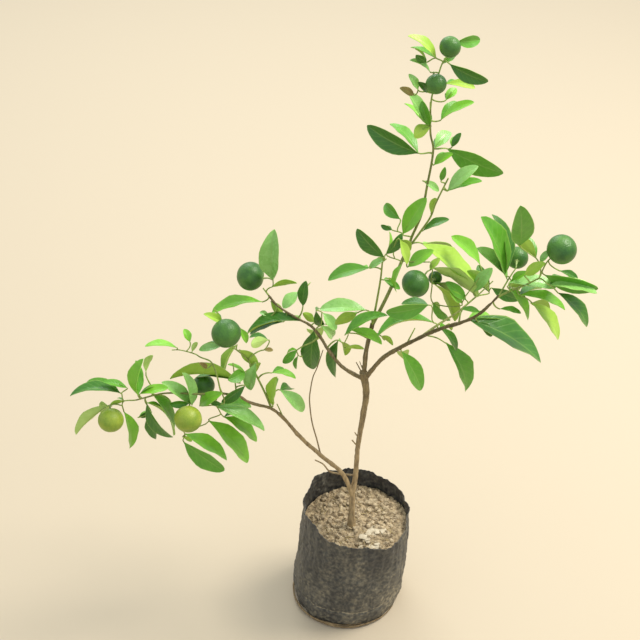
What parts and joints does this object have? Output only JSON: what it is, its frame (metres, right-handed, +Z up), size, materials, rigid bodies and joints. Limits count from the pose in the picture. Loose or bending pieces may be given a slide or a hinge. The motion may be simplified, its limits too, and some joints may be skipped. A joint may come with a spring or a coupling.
{
  "type": "potted orange tree",
  "caption": "Young, sparse small-fruited orange tree with green fruit, grown from two low stems in a black film nursery bag of soil.",
  "frame": {"origin": "centre of the bag's flat underside, on the surface that it stands on", "axes": "+Z up along the trunk, +X to the viewer's right in the picture, -Y towards the viewer"},
  "size_m": [0.5246, 0.2177, 0.7314],
  "materials": {
    "bag_film": "satin",
    "soil": "matte",
    "trunk_bark": "matte",
    "bough_bark": "matte",
    "shoot_bark": "matte",
    "leaves": "satin"
  },
  "bodies": {
    "root": {"bag": "bag_film", "soil": "soil", "trunk": "trunk_bark", "low_bough": "bough_bark", "centre_stem": "bough_bark", "left_bough": "bough_bark", "right_bough": "bough_bark", "right_tip_shoot": "shoot_bark", "right_back_bough": "shoot_bark", "left_outer_shoot": "shoot_bark", "left_high_shoot": "shoot_bark", "upright_shoot": "shoot_bark", "leader": "shoot_bark", "top_stem": "shoot_bark", "side_shoot": "shoot_bark", "left_tip_leaves": "leaves", "left_fruit_leaves": "leaves", "left_low_leaves": "leaves", "left_high_leaves": "leaves", "left_inner_leaves": "leaves", "bough_tip_leaves": "leaves", "bough_side_leaves": "leaves", "bough_middle_leaves": "leaves", "centre_leaves": "leaves", "upright_leaves": "leaves", "leader_leaves": "leaves", "leader_fork_leaves": "leaves", "side_shoot_leaves": "leaves", "top_stem_leaf": "leaves", "top_leaves": "leaves", "right_inner_leaves": "leaves", "right_low_leaves": "leaves", "right_high_leaves": "leaves", "right_tip_leaves": "leaves", "right_hanging_leaves": "leaves", "right_under_leaf": "leaves", "right_back_leaves": "leaves"}
  },
  "joints": []
}
